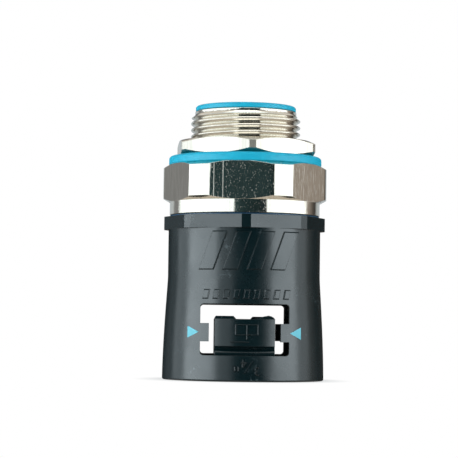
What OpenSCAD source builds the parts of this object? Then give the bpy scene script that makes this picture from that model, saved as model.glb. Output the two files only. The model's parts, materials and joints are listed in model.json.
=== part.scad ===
// Liquidtight conduit connector: a nylon snap-in conduit socket on a swivelling
// nickel plated brass thread, with sealing washer and locknut.
// The part stands on its conduit entry, +Z runs towards the thread, and the
// front window faces -Y.

/* [Conduit socket] */
// Outer diameter of the conduit that the socket takes
conduit_d = 28.5; // [20:0.1:35]
// Radial clearance of the conduit in the socket
conduit_clearance = 0.15; // [0.1:0.05:0.5]
// Width of the chamfer round the entry bore
entry_chamfer = 0.6; // [0.3:0.1:1.2]
// Radial relief of the socket above its guide ring
socket_relief = 0.4; // [0.2:0.1:0.6]
// Length of the socket between the windows and the web
socket_run = 11; // [9:0.5:20]

/* [Nylon body] */
// Wall of the barrel round the socket's guide bore
barrel_wall = 2.8; // [2.4:0.1:4]
// Radial growth of the barrel from the flare's top to the entry
flare = 1.05; // [0:0.1:2]
// Height of the flare's top above the windows
flare_run = 6.5; // [1:0.5:10]
// Round of the entry's outer edge
entry_round = 0.4; // [0.2:0.1:0.8]
// Height of the octagonal collar
collar_h = 2.96; // [2:0.02:4]
// Reach of the collar's cut corners past its flats
collar_corner = 1; // [0.3:0.1:1.3]
// Thickness of the web between the socket and the swivel joint
web_t = 3.6; // [2:0.1:6]
// Width of the web's face inside the socket
web_land = 3.3; // [2:0.1:4]

/* [Windows] */
// Height of the windows' lower edge above the entry
window_z = 5.7; // [4.5:0.1:8]
// Height of each window above the latch plate
window_headroom = 3.3; // [1.5:0.1:5]
// Radius of the windows' corners
window_corner_r = 0.75; // [0.4:0.05:1.2]
// Length of the guard tab on each side of a window
tab_l = 1.9; // [1:0.1:2.4]
// Height of each guard tab
tab_h = 4; // [2:0.5:5]
// Gap between a guard tab and the latch
tab_gap = 1.25; // [0.5:0.05:2]

/* [Latches] */
// Width of each latch
latch_w = 13.2; // [10:0.1:15]
// Height of the latch plate's lower edge above the window's lower edge
plate_rise = 2.05; // [1.7:0.05:3]
// Height of the latch plate
plate_h = 5.95; // [4.5:0.05:8]
// Thickness of the latch plate
plate_t = 1.7; // [1.2:0.1:2]
// Depth of the latch plate's face below the body's surface
plate_inset = 0.3; // [0:0.05:0.6]
// Diameter of the pivot bar
pivot_d = 1.8; // [1.4:0.1:1.9]
// Height of the pivot bar's middle above the window's sill
pivot_rise = 0.45; // [0.2:0.05:0.6]
// Wall between the pivot bar's channel and the socket
pivot_wall = 0.1; // [0.05:0.05:0.2]
// Thickness of the neck between the bar and the plate
neck_t = 1; // [0.8:0.1:1.6]
// Reach of the latch's teeth past the socket's wall
tooth_reach = 1.4; // [0.8:0.1:1.8]
// Height by which the teeth stand above the plate
tooth_rise = 0.8; // [0.4:0.1:1.2]
// Gap between a latch and what it moves beside
latch_clearance = 0.15; // [0.1:0.05:0.3]

/* [Swivel joint] */
// Nylon wall round the retaining ring's groove, to the collar's flats
joint_wall = 1.95; // [1.2:0.05:3]
// Radial running clearance of the metal spigot
swivel_clearance = 0.05; // [0.03:0.01:0.08]
// Diameter of the retaining ring's wire
ring_wire_d = 1.2; // [0.9:0.1:1.4]
// Depth of the retaining ring below the nylon body's top
ring_drop = 1.7; // [1.2:0.1:3]
// Diameter of the spigot seal's section
oring_d = 1; // [0.8:0.1:1.2]
// Distance from the retaining ring down to the spigot seal
oring_drop = 1.9; // [1.6:0.1:3]
// Height of the spigot seal above the web
oring_rise = 1.46; // [1.2:0.02:3]
// Wall of the metal spigot inside the seal's groove
spigot_wall = 1.4; // [0.8:0.1:3]
// Thickness of the seal between the nylon and the metal collar
joint_seal_t = 0.26; // [0.2:0.02:0.5]
// Width by which that seal's rim stands in from the metal collar's edge
joint_seal_inset = 0.1; // [0:0.05:0.4]

/* [Metal body] */
// Radial step from the nylon barrel in to the metal collar
metal_inset = 0.2; // [0:0.05:0.6]
// Height of the round metal collar
metal_collar_h = 3.06; // [2:0.02:5]
// Radial step from the metal collar out to the hexagon's flats
hexagon_step = 0.1; // [0.05:0.05:1]
// Height of the hexagon
hexagon_h = 8.4; // [6:0.1:12]
// Reach of the hexagon's turned corners past its flats
hexagon_corner = 1.4; // [0.8:0.1:2.2]
// Angle of the hexagon's turned chamfers
hexagon_chamfer_a = 30; // [15:1:45]
// Turn of the hexagon about the axis
hexagon_turn = -5; // [-30:0.25:30]

/* [Thread] */
// Major diameter of the thread
thread_d = 24.85; // [20:0.05:29.5]
// Pitch of the thread
thread_pitch = 1.5; // [1:0.25:2]
// Height of the metal thread above the hexagon
thread_h = 12.4; // [10:0.1:16]
// Length of the plain relief at the thread's foot
relief_h = 1.2; // [0.8:0.1:1.8]
// Metal wall under the thread's root
thread_wall = 0.955; // [0.7:0.005:2]

/* [Bore liner] */
// Wall of the liner
liner_wall = 0.9; // [0.6:0.05:1.5]
// Clearance of the liner in the metal bore
liner_clearance = 0.05; // [0.02:0.01:0.1]
// Reach of the liner's lip past the liner
lip_reach = 0.875; // [0.4:0.025:1.2]
// Thickness of the liner's lip
lip_t = 1.1; // [0.6:0.1:2]
// Length of the liner inside the metal bore
liner_l = 16.2; // [12:0.1:19]
// Height of the snap bead round the liner's foot
bead_h = 0.4; // [0.2:0.05:0.6]

/* [Sealing washer] */
// Width of the sealing washer's ring
washer_w = 4.795; // [3:0.005:6]
// Thickness of the sealing washer
washer_t = 2; // [1:0.1:3]
// Round of the sealing washer's upper edge
washer_round = 0.7; // [0.3:0.1:0.9]
// Radial clearance of the washer and the locknut round the thread
thread_clearance = 0.08; // [0.05:0.01:0.1]

/* [Locknut] */
// Wall of the locknut at its flats
nut_wall = 2.495; // [1.5:0.005:4]
// Reach of the locknut's turned corners past its flats
nut_corner = 1.9; // [0.8:0.05:2.2]
// Thickness of the locknut
nut_t = 3.5; // [2.5:0.1:5]
// Angle of the locknut's turned chamfers
nut_chamfer_a = 25; // [15:1:30]
// Turn of the locknut about the axis
nut_turn = 4.2; // [-30:0.1:30]

/* [Conduit seal] */
// Thickness of the seal's flange against the web
seal_flange_t = 1.6; // [1:0.1:2.5]
// Length of the nose that the conduit slips over
seal_nose_l = 5.5; // [3:0.5:7]
// Radial distance from the socket's guide bore in to the nose
seal_gap = 3.1; // [2.5:0.1:4]
// Wall of the nose
seal_wall = 1; // [0.7:0.1:1.4]

/* [Hidden] */
$fn = 96;
black = [0.13, 0.15, 0.17];
blue = [0.1, 0.68, 0.86];
nickel = [0.83, 0.82, 0.79];

// Overlap that makes a cut run cleanly past a face
cut = 1;
// Cone segments that make up the barrel's flare
flare_steps = 14;
// How steeply the flare runs out at its top
flare_power = 1.6;
// How softly the flare blends into the barrel, 0 for a crease
flare_blend = 0.1;

// Clearance of the pivot bars and the rings in what holds them
groove_gap = 0.1;
// Gap of a soft piece or a seal beside its seat
seat_gap = 0.02;

socket_r = conduit_d / 2 + conduit_clearance;
relief_r = socket_r + socket_relief;
barrel_r = socket_r + barrel_wall;

plate_z = window_z + plate_rise;
plate_top = plate_z + plate_h;
plate_mid = plate_z + plate_h / 2;
window_h = plate_rise + plate_h + window_headroom;
window_w = latch_w + 2 * (tab_gap + tab_l);
window_mid_z = window_z + window_h / 2;
flare_h = window_z + window_h + flare_run;

socket_depth = window_z + window_h + socket_run;
web_top = socket_depth + web_t;
oring_z = web_top + oring_rise;
ring_z = oring_z + oring_drop;
body_h = ring_z + ring_drop;
collar_z = body_h - collar_h;

// The outer radius at a height: nearly a cone up to the flare's top, where it blends into the barrel
function outer_r(z) = z >= flare_h ? barrel_r
    : let (s = 1 - pow(z / flare_h, flare_power), e = flare_blend)
        barrel_r + flare * (sqrt(s * s + e * e) - e) / (sqrt(1 + e * e) - e);

pivot_y = socket_r + pivot_wall + groove_gap + pivot_d / 2;
pivot_z = window_z + pivot_rise;
neck_y = pivot_y - pivot_d / 2;
plate_r = outer_r(plate_mid) - plate_inset;
tooth_top = plate_top + tooth_rise;
tooth_y = socket_r - tooth_reach;

ring_half = ring_wire_d / 2 + groove_gap;
swivel_r = barrel_r - joint_wall - ring_half;
spigot_r = swivel_r - swivel_clearance;
spigot_z = web_top + 2 * groove_gap;
wide_bore_r = spigot_r - oring_d - groove_gap - spigot_wall;
metal_z = body_h + joint_seal_t + seat_gap;
metal_collar_r = barrel_r - metal_inset;
hexagon_r = metal_collar_r + hexagon_step;

hexagon_z = metal_z + metal_collar_h;
seat_z = hexagon_z + hexagon_h;
thread_top = seat_z + thread_h;
thread_r = thread_d / 2;
thread_depth = 0.6134 * thread_pitch;
root_r = thread_r - thread_depth;
thread_z = seat_z + relief_h;
thread_count = floor((thread_h - relief_h) / thread_pitch);
thread_bore_r = thread_r + thread_clearance;

narrow_bore_r = root_r - thread_wall;
liner_r = narrow_bore_r - liner_clearance;
liner_bore_r = liner_r - liner_wall;
liner_z = thread_top - liner_l;
step_z = liner_z + 3.5 * bead_h;
snap_r = narrow_bore_r + 4 * bead_h;

nut_z = seat_z + washer_t;

// A tube or a solid of revolution from its half section
module turned(points) {
    rotate_extrude() polygon(points);
}

// A hexagon from its flats' radius, with a flat across the front, its corners
// turned round and turned chamfers at both ends
module turned_hexagon(flat_r, h, corner, chamfer_r, angle) {
    corner_r = flat_r + corner;
    drop = (corner_r - chamfer_r) * tan(angle);
    intersection() {
        cylinder(r = flat_r / cos(30), h = h, $fn = 6);
        turned([[0, 0], [chamfer_r, 0], [corner_r, drop], [corner_r, h - drop], [chamfer_r, h], [0, h]]);
    }
}

// The window's outline, with its guard tabs left standing
module window_outline() {
    r = window_corner_r;
    difference() {
        union() {
            square([window_w - 2 * r, window_h], center = true);
            square([window_w, window_h - 2 * r], center = true);
            for (x = [-1, 1], z = [-1, 1])
                translate([x * (window_w / 2 - r), z * (window_h / 2 - r)]) circle(r = r);
        }
        for (side = [-1, 1])
            translate([side * (window_w / 2 - tab_l / 2), plate_mid - window_mid_z])
                square([tab_l, tab_h], center = true);
    }
}

// What the front window and its latch take out of the nylon wall
module window_cut() {
    translate([0, -socket_r / 2, window_mid_z]) rotate([90, 0, 0])
        linear_extrude(height = 2 * socket_r) window_outline();
    translate([0, -pivot_y, pivot_z]) rotate([0, 90, 0])
        cylinder(d = pivot_d + 2 * groove_gap, h = latch_w + 2 * latch_clearance, center = true);
}

module barrel() {
    entry_r = outer_r(0);
    side = [for (i = [0 : flare_steps])
        let (z = flare_h - (flare_h - entry_round) * pow(1 - i / flare_steps, 1.5)) [outer_r(z), z]];
    turned(concat([[0, 0], [entry_r - entry_round, 0]],
        [for (a = [-60, -30]) [entry_r - entry_round * (1 - cos(a)), entry_round * (1 + sin(a))]],
        side, [[barrel_r, collar_z + cut / 2], [0, collar_z + cut / 2]]));
}

module collar() {
    translate([0, 0, collar_z]) intersection() {
        rotate(-90) cylinder(r = barrel_r / cos(22.5), h = collar_h, $fn = 8);
        rotate(-67.5) cylinder(r = (barrel_r + collar_corner) / cos(22.5), h = collar_h, $fn = 8);
    }
}

// The socket, the passage through the web and the swivel's bore with its groove
module body_bore() {
    web_r = relief_r - web_land;
    turned([[0, -cut], [socket_r + entry_chamfer + cut, -cut], [socket_r, entry_chamfer],
        [socket_r, window_z], [relief_r, window_z + socket_relief], [relief_r, socket_depth],
        [web_r, socket_depth], [web_r, web_top],
        [swivel_r, web_top], [swivel_r, ring_z - ring_half], [swivel_r + ring_half, ring_z - ring_half],
        [swivel_r + ring_half, ring_z + ring_half], [swivel_r, ring_z + ring_half],
        [swivel_r, body_h + cut], [0, body_h + cut]]);
}

module outer_body() {
    color(black) difference() {
        union() {
            barrel();
            collar();
        }
        body_bore();
        for (turn = [0, 180]) rotate(turn) window_cut();
    }
}

// The latch's side outline, with the distance from the axis as x
module latch_side() {
    front = plate_r + cut;
    back = plate_r - plate_t;
    translate([pivot_y, pivot_z]) circle(d = pivot_d);
    translate([neck_y, pivot_z]) square([neck_t, plate_z - pivot_z + neck_t]);
    polygon([[front, plate_z], [front, plate_top], [back, plate_top], [back, tooth_top],
        [tooth_y + 0.4, tooth_top], [tooth_y, tooth_top - 0.4], [tooth_y, plate_top - 0.6],
        [neck_y, plate_z + 1.2], [neck_y, plate_z]]);
}

// The latch's front outline: two teeth beside a notch, the right one with a rounded crown
module latch_front() {
    half = latch_w / 2;
    notch = latch_w / 7;
    shoulder = latch_w / 3;
    low = window_z - pivot_d;
    high = tooth_top - 0.15;
    polygon([[-half, low], [half, low], [half, plate_top], [half - 0.25, plate_top + 0.35],
        [half - 0.8, high], [shoulder + 0.8, tooth_top], [shoulder, high], [notch, plate_top],
        [-notch, plate_top], [-notch - 0.6, high], [0.3 - half, high], [-half, high - 0.3]]);
}

module latch() {
    intersection() {
        translate([-latch_w / 2, 0, 0]) rotate([90, 0, 90]) linear_extrude(height = latch_w)
            mirror([1, 0]) latch_side();
        rotate([90, 0, 0]) linear_extrude(height = 2 * socket_r) latch_front();
        union() {
            cylinder(r = plate_r, h = body_h);
            cylinder(r = pivot_y + pivot_d, h = plate_z - latch_clearance);
        }
    }
}

module front_latch() {
    color(black) latch();
}

module rear_latch() {
    color(black) rotate(180) latch();
}

module conduit_seal() {
    nose_r = socket_r - seal_gap;
    nose_z = socket_depth - seal_flange_t - seal_nose_l;
    color(blue) turned([[nose_r - seal_wall, nose_z], [nose_r - seal_wall / 2, nose_z],
        [nose_r, nose_z + seal_wall], [nose_r, socket_depth - seal_flange_t - 0.3],
        [nose_r + 0.3, socket_depth - seal_flange_t], [relief_r - seat_gap, socket_depth - seal_flange_t],
        [relief_r - seat_gap, socket_depth], [nose_r - seal_wall, socket_depth]]);
}

module joint_seal() {
    color(blue) translate([0, 0, body_h]) difference() {
        cylinder(r = metal_collar_r - joint_seal_inset, h = joint_seal_t);
        translate([0, 0, -cut]) cylinder(r = swivel_r, h = joint_seal_t + 2 * cut);
    }
}

// A round wire ring at a height, with its section's middle at a radius
module wire_ring(r, wire_d, z) {
    translate([0, 0, z]) rotate_extrude() translate([r, 0]) circle(d = wire_d, $fn = 32);
}

module retaining_ring() {
    color("gainsboro") wire_ring(swivel_r, ring_wire_d, ring_z);
}

module spigot_seal() {
    color("black") wire_ring(spigot_r - oring_d / 2, oring_d, oring_z);
}

// Half section of the thread's ridges, going up
function thread_points() = [for (i = [0 : thread_count - 1])
    let (z = thread_z + i * thread_pitch)
    each [[root_r, z], [thread_r, z + thread_pitch * 5 / 16], [thread_r, z + thread_pitch * 7 / 16],
        [root_r, z + thread_pitch * 3 / 4]]];

module metal_turning() {
    ring_floor = swivel_r - ring_half;
    oring_half = oring_d / 2 + groove_gap;
    oring_floor = spigot_r - oring_d - groove_gap;
    chamfer = 0.4;
    turned(concat([[0, spigot_z], [spigot_r - chamfer, spigot_z], [spigot_r, spigot_z + chamfer],
        [spigot_r, oring_z - oring_half], [oring_floor, oring_z - oring_half],
        [oring_floor, oring_z + oring_half], [spigot_r, oring_z + oring_half],
        [spigot_r, ring_z - ring_half], [ring_floor, ring_z - ring_half],
        [ring_floor, ring_z + ring_half], [spigot_r, ring_z + ring_half],
        [spigot_r, metal_z], [metal_collar_r - chamfer / 2, metal_z],
        [metal_collar_r, metal_z + chamfer / 2], [metal_collar_r, hexagon_z + cut],
        [root_r, hexagon_z + cut]], thread_points(),
        [[root_r, thread_top - chamfer], [root_r - chamfer, thread_top], [0, thread_top]]));
}

// The wide bore from the spigot, the snap recess round the liner's foot and the thread's bore
module metal_bore() {
    lead = 0.5;
    turned([[0, spigot_z - cut], [wide_bore_r + cut + lead, spigot_z - cut], [wide_bore_r, spigot_z + lead],
        [wide_bore_r, liner_z - bead_h], [snap_r, liner_z - bead_h], [snap_r, liner_z + bead_h],
        [narrow_bore_r, step_z], [narrow_bore_r, thread_top + cut], [0, thread_top + cut]]);
}

module thread_body() {
    color(nickel) difference() {
        union() {
            metal_turning();
            translate([0, 0, hexagon_z]) rotate(hexagon_turn)
                turned_hexagon(hexagon_r, hexagon_h, hexagon_corner, hexagon_r + 0.1,
                    hexagon_chamfer_a);
        }
        metal_bore();
    }
}

module bore_liner() {
    lip_r = liner_r + lip_reach;
    lip_top = thread_top + lip_t;
    edge = lip_t / 4;
    color(blue) turned([[liner_bore_r, liner_z], [liner_r, liner_z], [liner_r + bead_h, liner_z + bead_h],
        [liner_r, liner_z + 3 * bead_h], [liner_r, thread_top], [lip_r, thread_top],
        [lip_r, lip_top - edge], [lip_r - edge, lip_top], [liner_bore_r + 2 * edge, lip_top],
        [liner_bore_r, lip_top - 2 * edge]]);
}

module sealing_washer() {
    r = thread_bore_r + washer_w;
    color(blue) translate([0, 0, seat_z]) turned(concat([[thread_bore_r, 0], [r - 0.2, 0], [r, 0.2]],
        [for (a = [0 : 22.5 : 90]) [r - washer_round * (1 - cos(a)), washer_t - washer_round * (1 - sin(a))]],
        [[thread_bore_r, washer_t]]));
}

module locknut() {
    lead = thread_depth / 2;
    flat_r = thread_bore_r + nut_wall;
    color(nickel) translate([0, 0, nut_z]) difference() {
        rotate(nut_turn - 30)
            turned_hexagon(flat_r, nut_t, nut_corner, flat_r, nut_chamfer_a);
        turned([[0, -cut], [thread_bore_r + lead + cut, -cut], [thread_bore_r, lead],
            [thread_bore_r, nut_t - lead], [thread_bore_r + lead + cut, nut_t + cut], [0, nut_t + cut]]);
    }
}

outer_body();
front_latch();
rear_latch();
conduit_seal();
joint_seal();
retaining_ring();
spigot_seal();
thread_body();
bore_liner();
sealing_washer();
locknut();
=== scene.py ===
"""Liquidtight conduit connector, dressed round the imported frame."""
import json
import math

import bmesh
import bpy
from mathutils import Matrix, Vector

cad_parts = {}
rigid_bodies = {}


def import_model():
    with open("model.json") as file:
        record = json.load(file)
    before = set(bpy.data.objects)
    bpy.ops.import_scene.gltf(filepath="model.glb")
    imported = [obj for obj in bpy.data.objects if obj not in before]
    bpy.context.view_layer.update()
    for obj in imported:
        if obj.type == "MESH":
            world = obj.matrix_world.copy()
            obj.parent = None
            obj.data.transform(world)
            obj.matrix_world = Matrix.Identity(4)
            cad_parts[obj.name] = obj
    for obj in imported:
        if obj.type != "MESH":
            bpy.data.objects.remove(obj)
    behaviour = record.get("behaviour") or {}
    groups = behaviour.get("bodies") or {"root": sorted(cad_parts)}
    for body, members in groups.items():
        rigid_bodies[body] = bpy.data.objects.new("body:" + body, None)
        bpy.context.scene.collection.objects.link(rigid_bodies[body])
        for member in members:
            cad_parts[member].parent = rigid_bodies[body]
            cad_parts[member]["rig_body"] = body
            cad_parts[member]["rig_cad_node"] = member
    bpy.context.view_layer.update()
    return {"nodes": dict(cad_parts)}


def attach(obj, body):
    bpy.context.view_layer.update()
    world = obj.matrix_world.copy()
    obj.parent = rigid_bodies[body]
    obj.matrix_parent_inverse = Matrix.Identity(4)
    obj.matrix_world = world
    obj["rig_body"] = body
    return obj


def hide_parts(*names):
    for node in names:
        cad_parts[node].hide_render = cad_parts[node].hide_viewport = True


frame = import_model()
nodes = frame["nodes"]

MM = 0.001
# Vertices closer than a micrometre are merged
MERGE = 1e-6

# Sizes that the pieces made here share with the frame, in millimetres
THREAD_R = 12.425
THREAD_PITCH = 1.5
THREAD_TOP = 60.8
THREAD_CUT_Z = 49.0
ROOT_R = 11.505
BORE_R = 10.55

# The thread's ridge in millimetres: where its helix starts, its crest's rounding and its sunk foot
RIDGE_START_Z = 48.175
RIDGE_TURNS = 9
RIDGE_STEPS = 96
CREST_ROUND = 0.3
FOOT_SUNK = 0.06
END_CHAMFER = 0.25
RELIEF = 0.6
TURNED_STEPS = 128

# Flat marks are drawn this far in front of the axis and then laid on, in millimetres
MARK_START = -24
MARK_SUNK = 0.02
MARK_BACKING = 0.1

# The photograph's camera: angles in degrees, the place in millimetres
FRAME_PX = 458
FOCAL_PX = 1945
SENSOR_MM = 36
CAMERA_DISTANCE = 441.2
CAMERA_HEIGHT = 12.5
CAMERA_AZIMUTH = -1.25
CAMERA_PITCH = 2.806
CAMERA_YAW = 0.455
CAMERA_ROLL = 0.74

# What the softboxes and the card are aimed at, in metres, and the softboxes' cool white
AIM = Vector((0, 0, 0.04))
LAMP_COLOUR = (0.88, 0.98, 1.03)


def linear(hex_colour):
    """A hex sRGB colour as linear RGBA."""
    channels = [int(hex_colour[i:i + 2], 16) / 255 for i in (1, 3, 5)]
    return [c / 12.92 if c <= 0.04045 else ((c + 0.055) / 1.055) ** 2.4 for c in channels] + [1.0]


def deselect():
    if bpy.context.object and bpy.context.object.mode != "OBJECT":
        bpy.ops.object.mode_set(mode="OBJECT")
    bpy.ops.object.select_all(action="DESELECT")


def activate(piece):
    deselect()
    piece.select_set(True)
    bpy.context.view_layer.objects.active = piece


def apply_modifier(piece, kind, **settings):
    """Adds a modifier, sets it and applies it."""
    activate(piece)
    modifier = piece.modifiers.new(kind.title(), kind)
    for key, value in settings.items():
        setattr(modifier, key, value)
    bpy.ops.object.modifier_apply(modifier=modifier.name)


def cut(piece, tool, operation):
    """Combines a piece with a tool and deletes the tool."""
    apply_modifier(piece, "BOOLEAN", operation=operation, solver="EXACT", object=tool)
    bpy.data.objects.remove(tool)


def smooth(piece, angle):
    """Smooth shading, with edges sharper than the angle left hard."""
    activate(piece)
    bpy.ops.object.shade_smooth_by_angle(angle=math.radians(angle))


def dress(piece, name, body, material):
    """Names a piece, gives it its material and lets it ride on a body."""
    piece.name = name
    piece.data.name = name
    piece.data.materials.clear()
    piece.data.materials.append(material)
    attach(piece, body)


# Modelling: solids of revolution and the thread

def outline(points):
    """A closed outline in the XZ plane, drawn point by point; the points are in millimetres."""
    deselect()
    bpy.ops.mesh.primitive_plane_add(size=MM)
    piece = bpy.context.object
    bpy.ops.object.mode_set(mode="EDIT")
    bpy.ops.mesh.select_mode(type="VERT")
    bpy.ops.mesh.select_all(action="SELECT")
    bpy.ops.mesh.merge(type="CENTER")
    bpy.ops.mesh.select_all(action="SELECT")
    bpy.ops.transform.translate(value=Vector((points[0][0], 0, points[0][1])) * MM)
    for (x0, z0), (x1, z1) in zip(points, points[1:] + points[:1]):
        step = Vector((x1 - x0, 0, z1 - z0)) * MM
        bpy.ops.mesh.extrude_region_move(TRANSFORM_OT_translate={"value": step})
    bpy.ops.mesh.select_all(action="SELECT")
    bpy.ops.mesh.remove_doubles(threshold=MERGE)
    bpy.ops.object.mode_set(mode="OBJECT")
    return piece


def tidy_normals(piece):
    """Merges what coincides and turns every face outwards."""
    activate(piece)
    bpy.ops.object.mode_set(mode="EDIT")
    bpy.ops.mesh.select_all(action="SELECT")
    bpy.ops.mesh.remove_doubles(threshold=MERGE)
    bpy.ops.mesh.normals_make_consistent(inside=False)
    bpy.ops.object.mode_set(mode="OBJECT")


def turned(points):
    """A ring turned from its closed half section."""
    piece = outline(points)
    apply_modifier(piece, "SCREW", angle=math.tau, steps=TURNED_STEPS, render_steps=TURNED_STEPS,
                   use_merge_vertices=True, merge_threshold=MERGE)
    tidy_normals(piece)
    return piece


def fill_ends(piece):
    """Caps the open ends of a swept ridge."""
    activate(piece)
    bpy.ops.object.mode_set(mode="EDIT")
    bpy.ops.mesh.select_mode(type="EDGE")
    bpy.ops.mesh.select_all(action="DESELECT")
    bpy.ops.mesh.select_non_manifold()
    bpy.ops.mesh.fill_holes(sides=0)
    bpy.ops.object.mode_set(mode="OBJECT")


def thread_ridge():
    """The helical ridge, from below its relief to past the thread's end."""
    middle_r = THREAD_R - CREST_ROUND
    foot_r = ROOT_R - FOOT_SUNK
    # The flanks are 30 degrees from level and go on from the crest's rounding
    flank = math.radians(30)
    half_foot = (CREST_ROUND * math.cos(flank)
                 + (middle_r + CREST_ROUND * math.sin(flank) - foot_r) * math.tan(flank))
    crest = [(middle_r + CREST_ROUND * math.cos(math.radians(a)),
              RIDGE_START_Z + CREST_ROUND * math.sin(math.radians(a))) for a in range(-60, 61, 15)]
    ridge = outline([(foot_r, RIDGE_START_Z - half_foot)] + crest + [(foot_r, RIDGE_START_Z + half_foot)])
    apply_modifier(ridge, "SCREW", angle=math.tau, steps=RIDGE_STEPS, render_steps=RIDGE_STEPS,
                   iterations=RIDGE_TURNS, screw_offset=THREAD_PITCH * MM)
    fill_ends(ridge)
    tidy_normals(ridge)
    return ridge


def threaded_end():
    """The thread on its tube, chamfered at the end."""
    ridge = thread_ridge()
    # The ridge is kept above its relief and fades out over the last two millimetres
    start, inside, outside, end = THREAD_CUT_Z + RELIEF, 5, THREAD_R + 0.3, THREAD_TOP + 0.02
    limit = turned([(inside, start), (outside, start), (outside, THREAD_TOP - 1.9),
                    (ROOT_R + 0.1, THREAD_TOP - 1.1), (ROOT_R - END_CHAMFER, end), (inside, end)])
    cut(ridge, limit, "INTERSECT")
    tube = turned([(BORE_R, THREAD_CUT_Z), (ROOT_R, THREAD_CUT_Z), (ROOT_R, THREAD_TOP - END_CHAMFER),
                   (ROOT_R - END_CHAMFER, THREAD_TOP), (BORE_R, THREAD_TOP)])
    cut(tube, ridge, "UNION")
    return tube


def lower_body():
    """A copy of the frame's metal body, cut off where the turned tube takes over under the washer."""
    source = nodes["thread_body"]
    piece = source.copy()
    piece.data = source.data.copy()
    piece.parent = None
    bpy.context.scene.collection.objects.link(piece)
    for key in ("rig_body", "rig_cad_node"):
        if key in piece:
            del piece[key]
    activate(piece)
    bpy.ops.mesh.customdata_custom_splitnormals_clear()
    bpy.ops.object.mode_set(mode="EDIT")
    bpy.ops.mesh.select_all(action="SELECT")
    bpy.ops.mesh.remove_doubles(threshold=2 * MERGE)
    bpy.ops.mesh.bisect(plane_co=(0, 0, THREAD_CUT_Z * MM), plane_no=(0, 0, 1), clear_outer=True,
                        use_fill=True)
    bpy.ops.object.mode_set(mode="OBJECT")
    return piece


# Modelling: the raised marks and the printed triangles

def panel(x, z, width, height, lean=0):
    """A flat panel in front of the object; lean moves its upper edge to the right."""
    deselect()
    bpy.ops.mesh.primitive_plane_add(size=1, location=(x * MM, MARK_START * MM, z * MM),
                                     rotation=(math.radians(90), 0, 0))
    piece = bpy.context.object
    piece.scale = (width * MM, height * MM, 1)
    bpy.ops.object.transform_apply(location=True, rotation=True, scale=True)
    bpy.ops.object.mode_set(mode="EDIT")
    mesh = bmesh.from_edit_mesh(piece.data)
    for v in mesh.verts:
        v.select = v.co.z > z * MM
    mesh.select_flush_mode()
    bmesh.update_edit_mesh(piece.data)
    bpy.ops.transform.translate(value=(lean * MM, 0, 0))
    bpy.ops.object.mode_set(mode="OBJECT")
    return piece


def hollowed(piece, line):
    """Leaves only the panel's border, as wide as the line."""
    activate(piece)
    bpy.ops.object.mode_set(mode="EDIT")
    bpy.ops.mesh.select_all(action="SELECT")
    bpy.ops.mesh.inset(thickness=line * MM, depth=0)
    bpy.ops.mesh.delete(type="FACE")
    bpy.ops.object.mode_set(mode="OBJECT")
    return piece


def pointer(x, z, reach, half_height):
    """A flat triangle that points along x by its reach."""
    piece = panel(x + reach / 2, z, abs(reach), 2 * half_height)
    activate(piece)
    bpy.ops.object.mode_set(mode="EDIT")
    mesh = bmesh.from_edit_mesh(piece.data)
    for v in mesh.verts:
        v.select = (v.co.x * 1000 - x) * reach > reach * reach / 2
    mesh.select_flush_mode()
    bmesh.update_edit_mesh(piece.data)
    bpy.ops.mesh.merge(type="CENTER")
    bpy.ops.object.mode_set(mode="OBJECT")
    return piece


def numeral(text, x, z, size):
    """Flat figures as moulded for a reader on the other side: turned upside down."""
    deselect()
    bpy.ops.object.text_add(location=(x * MM, MARK_START * MM, z * MM),
                            rotation=(math.radians(90), math.pi, 0))
    piece = bpy.context.object
    piece.data.body = text
    piece.data.size = size * MM
    piece.data.align_x = "CENTER"
    piece.data.align_y = "CENTER"
    piece.data.resolution_u = 3
    piece.data.offset = 0.05 * MM
    bpy.ops.object.convert(target="MESH")
    piece = bpy.context.object
    bpy.ops.object.transform_apply(location=True, rotation=True, scale=True)
    return piece


def moulded_on(pieces, target, height, draft, step=0.5, reach=12):
    """Flat pieces joined, cut into strips, laid on the target's face and raised with sloped sides."""
    deselect()
    for piece in pieces:
        piece.select_set(True)
    bpy.context.view_layer.objects.active = pieces[0]
    bpy.ops.object.join()
    piece = bpy.context.object
    bpy.ops.object.mode_set(mode="EDIT")
    for i in range(int(2 * reach / step) + 1):
        bpy.ops.mesh.select_all(action="SELECT")
        bpy.ops.mesh.bisect(plane_co=((i * step - reach) * MM, 0, 0), plane_no=(1, 0, 0))
    bpy.ops.mesh.select_all(action="SELECT")
    bpy.ops.mesh.remove_doubles(threshold=MERGE)
    bpy.ops.object.mode_set(mode="OBJECT")
    apply_modifier(piece, "SHRINKWRAP", wrap_method="PROJECT", target=target, use_project_y=True,
                   use_negative_direction=False, use_positive_direction=True, offset=-MARK_SUNK * MM)
    activate(piece)
    bpy.ops.object.mode_set(mode="EDIT")
    bpy.ops.mesh.select_all(action="SELECT")
    bpy.ops.mesh.inset(thickness=draft * MM, depth=(height + MARK_SUNK) * MM)
    bpy.ops.object.mode_set(mode="OBJECT")
    apply_modifier(piece, "SOLIDIFY", thickness=MARK_BACKING * MM, offset=-1)
    tidy_normals(piece)
    smooth(piece, 30)
    return piece


# Materials

def feed(tree, node, sockets):
    """Gives each socket its constant, or links it to what feeds it."""
    for key, value in sockets.items():
        if isinstance(value, bpy.types.NodeSocket):
            tree.links.new(value, node.inputs[key])
        else:
            node.inputs[key].default_value = value


def add(tree, kind, sockets=(), **properties):
    """Adds a shader node, sets its properties and feeds its sockets."""
    node = tree.nodes.new(kind)
    for key, value in properties.items():
        setattr(node, key, value)
    feed(tree, node, dict(sockets))
    return node


def calc(tree, operation, *values):
    """The result of one step of arithmetic."""
    return add(tree, "ShaderNodeMath", dict(enumerate(values)), operation=operation).outputs[0]


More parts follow.
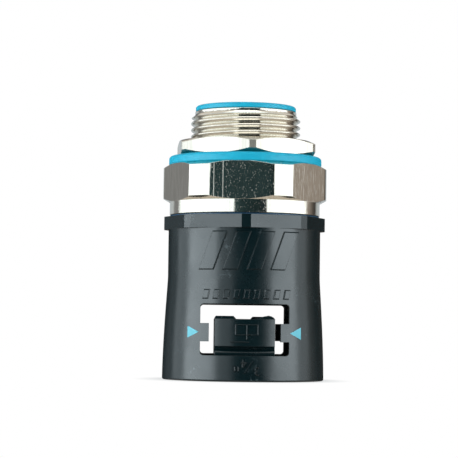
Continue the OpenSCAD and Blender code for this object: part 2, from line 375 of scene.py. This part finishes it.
def spread(tree, value, low, high, to_low=0, to_high=1):
    """A value taken from one range to another and held at the ends."""
    ranges = {"From Min": low, "From Max": high, "To Min": to_low, "To Max": to_high}
    return add(tree, "ShaderNodeMapRange", {"Value": value, **ranges}).outputs["Result"]


def noise(tree, place, scale, detail, roughness=0.5):
    """Noise; the scale is how many of its features lie in a metre."""
    return add(tree, "ShaderNodeTexNoise", {"Vector": place, "Scale": scale, "Detail": detail,
                                            "Roughness": roughness}).outputs["Fac"]


def scaled(tree, place, scale):
    """Coordinates scaled along each axis; under 1 stretches a pattern."""
    return add(tree, "ShaderNodeMapping", {"Vector": place, "Scale": scale}).outputs["Vector"]


def two_tones(tree, value, low, low_colour, high, high_colour):
    """A blend from one linear colour to another between two values."""
    ramp = add(tree, "ShaderNodeValToRGB", {"Fac": value})
    first, last = ramp.color_ramp.elements
    first.position, first.color = low, low_colour
    last.position, last.color = high, high_colour
    return ramp.outputs["Color"]


def mixed(tree, share, first, second):
    """Two shaders mixed; a share of 1 is the second alone."""
    return add(tree, "ShaderNodeMixShader", {0: share, 1: first, 2: second}).outputs[0]


def object_place(tree):
    return add(tree, "ShaderNodeTexCoord").outputs["Object"]


def material(name):
    """A new material, named for its finish, with its node tree and its shader."""
    made = bpy.data.materials.new(name)
    made.use_nodes = True
    return made, made.node_tree, made.node_tree.nodes["Principled BSDF"]


def bump(tree, relief, strength, distance, sockets=()):
    """A relief in the surface, its depth in metres."""
    return add(tree, "ShaderNodeBump", {"Strength": strength, "Distance": distance, "Height": relief,
                                        **dict(sockets)}).outputs["Normal"]


def rounded_bump(tree, radius, relief, strength, distance):
    """Edges rounded by a radius in metres, with a fine relief on top."""
    edge = add(tree, "ShaderNodeBevel", {"Radius": radius}, samples=4)
    return bump(tree, relief, strength, distance, {"Normal": edge.outputs["Normal"]})


def black_nylon(name, colour, roughness, grain_depth):
    """Moulded glass-filled nylon: near black, cool, satin, finely spark-eroded and lightly scuffed."""
    made, tree, shader = material(name)
    place = object_place(tree)
    # Grain of about 0.1 mm, drawn at 0.25 mm so that it shows
    grain = noise(tree, place, 4000, 3, 0.6)
    # Flow of the melt, soft clouds of about 6 mm
    flow = noise(tree, place, 160, 4, 0.55)
    # Scuffs of about 0.7 mm, few, and gathered in patches of about 5 mm
    scuff = noise(tree, place, 1400, 5, 0.65)
    patch = noise(tree, place, 210, 2)
    worn = spread(tree, calc(tree, "MULTIPLY", scuff, patch), 0.37, 0.45, 0, 0.5)
    feed(tree, shader, {
        "Base Color": two_tones(tree, worn, 0, linear(colour), 1, linear("#4d5659")),
        "Roughness": spread(tree, flow, 0.3, 0.7, roughness - 0.05, roughness + 0.06),
        "Normal": rounded_bump(tree, 0.00012, grain, 0.12, grain_depth),
        "IOR": 1.4})
    return made


def elastomer(name, colour, shade, roughness):
    """Moulded elastomer or rubber: soft satin, slightly clouded."""
    made, tree, shader = material(name)
    # Clouding of about 1.5 mm
    cloud = noise(tree, object_place(tree), 700, 4)
    feed(tree, shader, {
        "Base Color": two_tones(tree, cloud, 0.3, linear(shade), 0.7, linear(colour)),
        "Roughness": roughness,
        "Normal": rounded_bump(tree, 0.00012, cloud, 0.1, 0.00003),
        "IOR": 1.38})
    return made


def nickel_plate(name, colour, shade, roughness):
    """Bright nickel on turned brass: warm white, brushed at the sides, speckled and scratched in front."""
    made, tree, shader = material(name)
    place = object_place(tree)
    axes = add(tree, "ShaderNodeSeparateXYZ", {"Vector": place}).outputs
    aside = calc(tree, "ABSOLUTE", axes["X"])
    # Brush lines of about 0.1 mm, drawn at 0.25 mm so that they show, 5 mm long, faint on the front face
    brush = noise(tree, scaled(tree, place, (1, 1, 0.05)), 4000, 3, 0.6)
    lines = calc(tree, "MULTIPLY", brush, spread(tree, aside, 0.007, 0.009, 0.15, 1))
    # Dull specks of about 0.3 mm, taller than wide, on the front face below the nut
    specks = noise(tree, scaled(tree, place, (1, 1, 0.6)), 3600, 4, 0.7)
    dull = spread(tree, specks, 0.55, 0.7, 0, 0.38)
    facing = calc(tree, "LESS_THAN", axes["Y"], 0)
    middle = calc(tree, "LESS_THAN", aside, 0.0078)
    under_nut = calc(tree, "LESS_THAN", axes["Z"], 0.049)
    front = calc(tree, "MULTIPLY", calc(tree, "MULTIPLY", facing, middle), under_nut)
    # Two scratches of 0.08 mm down the hexagon's front face
    scratches = []
    for x in (-0.0072, -0.0052):
        away = calc(tree, "ABSOLUTE", calc(tree, "SUBTRACT", axes["X"], x))
        scratches.append(spread(tree, away, 0, 0.00004, -1, 0))
    on_hexagon = calc(tree, "MULTIPLY", front, calc(tree, "GREATER_THAN", axes["Z"], 0.0401))
    relief = calc(tree, "MULTIPLY_ADD", calc(tree, "ADD", *scratches), on_hexagon, lines)
    # The nut's turned corners, further from the axis than its flats, and duller
    out = add(tree, "ShaderNodeVectorMath", {0: scaled(tree, place, (1, 1, 0))}, operation="LENGTH")
    corner = spread(tree, out.outputs["Value"], 0.0158, 0.0162, 0, 0.3)
    on_nut = calc(tree, "GREATER_THAN", axes["Z"], 0.0495)
    base = calc(tree, "MULTIPLY_ADD", corner, on_nut, roughness)
    feed(tree, shader, {
        "Base Color": two_tones(tree, brush, 0.3, linear(shade), 0.7, linear(colour)),
        "Metallic": 1,
        "Roughness": calc(tree, "MULTIPLY_ADD", dull, front, base),
        "Normal": rounded_bump(tree, 0.0001, relief, 0.6, 0.00003)})
    return made


def printed_ink(name, colour):
    """Pad-printed ink: pale blue, flat and matt, thin enough to show the nylon's grain."""
    made, tree, shader = material(name)
    grain = noise(tree, object_place(tree), 4000, 3, 0.6)
    feed(tree, shader, {"Base Color": linear(colour), "Roughness": 0.5,
                        "Normal": bump(tree, grain, 0.15, 0.00003)})
    return made


def spring_steel(name, colour):
    """Drawn spring wire: grey, with fine lines round the ring."""
    made, tree, shader = material(name)
    # Lines of about 0.15 mm, ten times as long
    lines = noise(tree, scaled(tree, object_place(tree), (0.1, 0.1, 1)), 6000, 2)
    feed(tree, shader, {"Base Color": linear(colour), "Metallic": 1, "Roughness": 0.3,
                        "Normal": bump(tree, lines, 0.3, 0.00002)})
    return made


body_nylon = black_nylon("moulded_black_nylon", "#06171a", roughness=0.25, grain_depth=0.00003)
latch_nylon = black_nylon("polished_black_nylon", "#06171a", roughness=0.24, grain_depth=0.00002)
seal_blue = elastomer("moulded_blue_elastomer", "#06a3bf", "#0398b4", roughness=0.5)
# The joint seal's blue is painted dark: painted shade for the narrow recess between the metal and the
# nylon where it sits.
joint_blue_painted_shade = elastomer("blue_elastomer_painted_shade", "#123f5c", "#0f3850", roughness=0.4)
black_rubber = elastomer("moulded_black_rubber", "#1b1c1d", "#161718", roughness=0.5)
nickel = nickel_plate("bright_nickel_plating", "#e6e1d6", "#cec9be", roughness=0.08)
wire_steel = spring_steel("drawn_spring_steel", "#a8a9a8")
triangle_ink = printed_ink("pale_blue_ink", "#54aebd")


def give(node, made):
    """Puts a material in all of a node's slots."""
    for held in nodes[node].material_slots:
        held.material = made


give("outer_body", body_nylon)
give("spigot_seal", black_rubber)
give("retaining_ring", wire_steel)
give("locknut", nickel)
give("joint_seal", joint_blue_painted_shade)
for name in ("front_latch", "rear_latch"):
    give(name, latch_nylon)
for name in ("conduit_seal", "bore_liner", "sealing_washer"):
    give(name, seal_blue)

# The plated body with its real thread takes the frame's place
metal = lower_body()
thread = threaded_end()
smooth(metal, 30)
smooth(thread, 40)
activate(metal)
thread.select_set(True)
bpy.ops.object.join()
dress(metal, "plated_swivel_body", "swivel", nickel)
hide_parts("thread_body")

# Plain raised bars where the barrel carries its large moulded mark, and a row of dashes below them
bars = [panel(x, 28.7, width=3.4, height=8.6, lean=3) for x in (-8.6, -3.4, 1.8, 7)]
dashes = [panel(-8.7 + 2.2 * i, 19.1, width=1.4, height=2.2, lean=0.4) for i in range(9)]
marks = moulded_on(bars + dashes, nodes["outer_body"], height=0.3, draft=0.25)
dress(marks, "raised_barrel_marks", "body", body_nylon)

# The size as it is moulded, upside down: the figures, the stroke and the inch mark's two dashes
figures = [numeral("3", 2.6, 2.5, size=2.7), numeral("4", -0.15, 4.1, size=2.7),
           panel(-0.1, 3.2, width=0.45, height=2.7, lean=1.75)]
figures += [panel(x, 2.85, width=0.4, height=1.2) for x in (-2.1, -1.35)]
size_mark = moulded_on(figures, nodes["outer_body"], height=0.3, draft=0.13)
dress(size_mark, "raised_size_figures", "body", body_nylon)

# A plain frame, a bar across it and a line below, where the latch carries its sign
sign = [hollowed(panel(0.4, 11.35, width=5.15, height=2.5), 0.3),
        panel(0.4, 10.85, width=0.3, height=3.4), panel(-1.1, 8.7, width=4, height=0.35)]
icon = moulded_on(sign, nodes["front_latch"], height=0.2, draft=0.12, step=0.5, reach=6)
dress(icon, "latch_sign", "front_lock", latch_nylon)

# The printed triangles that point at the latch
pointers = [pointer(-12.5, 10.8, reach=2.45, half_height=1.3),
            pointer(12.4, 10.65, reach=-2.45, half_height=1.35)]
arrows = moulded_on(pointers, nodes["outer_body"], height=0.03, draft=0.01, step=0.3, reach=13)
dress(arrows, "printed_triangles", "body", triangle_ink)


# Stage, lights and camera

def on_circle(azimuth, distance, height):
    """A place round the object in metres: azimuth 0 is in front and 90 to the right."""
    a = math.radians(azimuth)
    return Vector((math.sin(a) * distance, -math.cos(a) * distance, height))


def softbox(name, azimuth, distance, height, size, watts, lit=None):
    """A rectangular softbox aimed at the object; it lights one collection only if one is given."""
    data = bpy.data.lights.new(name, "AREA")
    data.shape = "RECTANGLE"
    data.size, data.size_y = size
    data.color = LAMP_COLOUR
    data.energy = watts
    lamp = bpy.data.objects.new(name, data)
    lamp.location = on_circle(azimuth, distance, height)
    lamp.rotation_mode = "QUATERNION"
    lamp.rotation_quaternion = (lamp.location - AIM).to_track_quat("Z", "Y")
    bpy.context.scene.collection.objects.link(lamp)
    if lit is not None:
        lamp.light_linking.receiver_collection = lit
    return lamp


def stage_card(name, size, place, aim, colour, seen):
    """A flat matt card of the stage that faces a point; unseen, it shows in reflections only."""
    deselect()
    bpy.ops.mesh.primitive_grid_add(x_subdivisions=2, y_subdivisions=2, size=1)
    card = bpy.context.object
    card.name = name
    card.scale = (size[0], size[1], 1)
    bpy.ops.object.transform_apply(location=False, rotation=False, scale=True)
    card.location = place
    card.rotation_mode = "QUATERNION"
    card.rotation_quaternion = (Vector(aim) - Vector(place)).to_track_quat("Z", "Y")
    made, tree, shader = material(name)
    feed(tree, shader, {"Base Color": linear(colour), "Roughness": 1, "Specular IOR Level": 0})
    card.data.materials.append(made)
    if not seen:
        card.visible_camera = False
        card.visible_diffuse = False
        card.visible_shadow = False
    return card, made


def world():
    """White behind the object for the camera; the metal mirrors grey sides and bright above and below."""
    made = bpy.data.worlds.new("studio")
    bpy.context.scene.world = made
    made.use_nodes = True
    tree = made.node_tree
    tree.nodes.clear()
    path = add(tree, "ShaderNodeLightPath").outputs
    generated = add(tree, "ShaderNodeTexCoord").outputs["Generated"]
    toward = add(tree, "ShaderNodeSeparateXYZ", {"Vector": generated}).outputs
    # The walls are cool on the left and warm on the right
    sideways = spread(tree, toward["X"], -0.4, 0.4)
    walls = two_tones(tree, sideways, 0, (0.27, 0.28, 0.29, 1), 1, (0.42, 0.37, 0.33, 1))
    # They are dim behind the object, more so to the right, and behind the camera
    behind = calc(tree, "MULTIPLY_ADD", toward["X"], 0.2, toward["Y"])
    backwards = spread(tree, behind, 0.54, 0.8, 1, 0.15)
    forwards = spread(tree, toward["Y"], -0.8, -0.2, 0.15, 1)
    level = calc(tree, "MULTIPLY", backwards, forwards)
    # They give way to the bright ceiling and floor
    lift = spread(tree, calc(tree, "ABSOLUTE", toward["Z"]), 0.3, 0.5)
    plain = add(tree, "ShaderNodeBackground", {"Color": (0.9, 0.98, 1, 1), "Strength": 0.1})
    sides = add(tree, "ShaderNodeBackground", {"Color": walls, "Strength": level})
    above = add(tree, "ShaderNodeBackground", {"Color": (1, 0.96, 0.9, 1), "Strength": 0.85})
    white = add(tree, "ShaderNodeBackground", {"Color": (1, 1, 1, 1), "Strength": 1})
    mirrored = mixed(tree, lift, sides.outputs[0], above.outputs[0])
    lighting = mixed(tree, path["Is Glossy Ray"], plain.outputs[0], mirrored)
    surface = mixed(tree, path["Is Camera Ray"], lighting, white.outputs[0])
    add(tree, "ShaderNodeOutputWorld", {"Surface": surface})


def paint_floor(made):
    """White for the camera away from the object, with its soft shadow kept close by."""
    tree = made.node_tree
    away = add(tree, "ShaderNodeVectorMath", {0: object_place(tree)}, operation="LENGTH")
    near = spread(tree, away.outputs["Value"], 0.016, 0.025, 0.5, 1)
    seen = calc(tree, "MULTIPLY", near, add(tree, "ShaderNodeLightPath").outputs["Is Camera Ray"])
    glow = add(tree, "ShaderNodeEmission", {"Color": (1, 1, 1, 1), "Strength": 1})
    blend = mixed(tree, seen, tree.nodes["Principled BSDF"].outputs[0], glow.outputs[0])
    # From below the floor is not there, so that the underside can be seen
    below = add(tree, "ShaderNodeNewGeometry").outputs["Backfacing"]
    nothing = add(tree, "ShaderNodeBsdfTransparent").outputs[0]
    feed(tree, tree.nodes["Material Output"], {"Surface": mixed(tree, below, blend, nothing)})


def camera():
    """The camera fitted to the photograph's outline."""
    data = bpy.data.cameras.new("camera")
    data.sensor_width = SENSOR_MM
    data.lens = FOCAL_PX / FRAME_PX * SENSOR_MM
    data.clip_start, data.clip_end = 0.01, 10
    made = bpy.data.objects.new("camera", data)
    made.location = on_circle(CAMERA_AZIMUTH, CAMERA_DISTANCE * MM, CAMERA_HEIGHT * MM)
    turn = Matrix.Rotation(math.radians(CAMERA_AZIMUTH + CAMERA_YAW), 4, "Z")
    tilt = Matrix.Rotation(math.radians(90 + CAMERA_PITCH), 4, "X")
    roll = Matrix.Rotation(math.radians(CAMERA_ROLL), 4, "Z")
    made.rotation_mode = "QUATERNION"
    made.rotation_quaternion = (turn @ tilt @ roll).to_quaternion()
    bpy.context.scene.collection.objects.link(made)
    bpy.context.scene.camera = made


def group(name, pieces):
    """A collection that a softbox can be kept to."""
    made = bpy.data.collections.new(name)
    for piece in pieces:
        made.objects.link(piece)
    return made


moulded_nodes = [nodes[name] for name in nodes if name not in ("thread_body", "locknut")]
moulded = group("moulded_pieces", moulded_nodes + [marks, size_mark, icon, arrows])
plated = group("plated_pieces", [metal, nodes["locknut"]])

world()
# Each softbox: name, azimuth, distance and height, width and height, watts, and what it is kept to
for row in (
        ("left_softbox", -67.5, 0.42, 0.05, (1.02, 0.3), 1.65),
        ("left_softbox_middle", -66, 0.4, 0.05, (0.37, 0.24), 1.75, moulded),
        ("right_softbox", 68.5, 0.42, 0.05, (0.62, 0.3), 1),
        ("right_softbox_middle", 60, 0.4, 0.05, (0.3, 0.24), 1.2, moulded),
        ("top_softbox", 0, 0.1, 0.6, (0.5, 0.5), 0.8),
        ("front_top_softbox", 0, 0.3, 0.32, (0.35, 0.2), 0.3)):
    softbox(*row)
# Two behind the object, which light the rims of the metal and stay out of the camera's sight
for name, azimuth in (("left_rear_softbox", -158), ("right_rear_softbox", 158)):
    softbox(name, azimuth, 0.6, 0.05, (0.4, 0.3), 0.2, plated).visible_camera = False
# A dark card beside the camera, which the front faces mirror
stage_card("camera_side_card", (0.52, 0.5), on_circle(7, 0.6, 0.04), AIM, "#3b4f51", False)
floor, floor_paint = stage_card("floor", (3, 3), (0, 0, 0), (0, 0, 1), "#ffffff", True)
floor.visible_glossy = False
paint_floor(floor_paint)
camera()
bpy.context.scene.view_settings.view_transform = "Standard"
